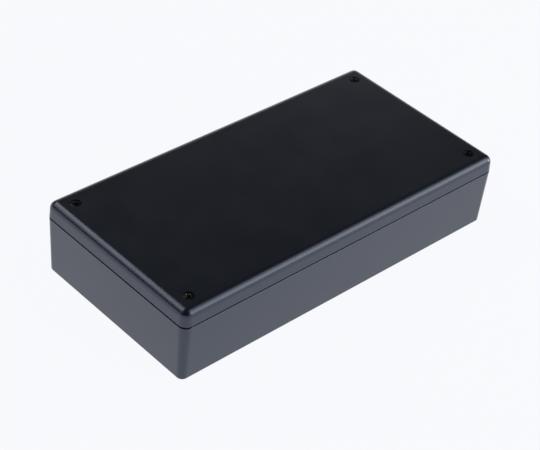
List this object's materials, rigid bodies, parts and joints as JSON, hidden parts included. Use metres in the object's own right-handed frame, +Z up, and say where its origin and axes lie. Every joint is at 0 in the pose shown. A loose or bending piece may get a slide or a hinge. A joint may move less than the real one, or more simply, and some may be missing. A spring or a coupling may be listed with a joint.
{
  "type": "plastic project box",
  "caption": "Black moulded plastic enclosure with drafted walls and a screwed-on lid over a hollow base with card guides and board posts.",
  "frame": {"origin": "centre of the flat underside", "axes": "+Z up through the lid, X along the long side, Y along the short side"},
  "size_m": [0.2, 0.1, 0.04],
  "materials": {
    "abs_base": "black ABS, injection moulded with a fine spark-eroded texture, satin",
    "abs_lid": "black ABS, injection moulded with a fine spark-eroded texture, satin",
    "screw_steel": "steel, black zinc plated, slightly glossy",
    "insert_brass": "turned and knurled brass"
  },
  "bodies": {
    "base": {"base": "abs_base", "insert_1": "insert_brass", "insert_2": "insert_brass", "insert_3": "insert_brass", "insert_4": "insert_brass"},
    "lid": {"lid": "abs_lid"},
    "screw_1": {"screw_1": "screw_steel"},
    "screw_2": {"screw_2": "screw_steel"},
    "screw_3": {"screw_3": "screw_steel"},
    "screw_4": {"screw_4": "screw_steel"}
  },
  "joints": [
    {"name": "lid_lift", "type": "slide", "parent": "base", "child": "lid", "axis": [0, 0, 1], "range_m": [0, 0.08]},
    {"name": "screw_1_undo", "type": "slide", "parent": "lid", "child": "screw_1", "axis": [0, 0, 1], "range_m": [0, 0.017]},
    {"name": "screw_2_undo", "type": "slide", "parent": "lid", "child": "screw_2", "axis": [0, 0, 1], "range_m": [0, 0.017]},
    {"name": "screw_3_undo", "type": "slide", "parent": "lid", "child": "screw_3", "axis": [0, 0, 1], "range_m": [0, 0.017]},
    {"name": "screw_4_undo", "type": "slide", "parent": "lid", "child": "screw_4", "axis": [0, 0, 1], "range_m": [0, 0.017]}
  ]
}
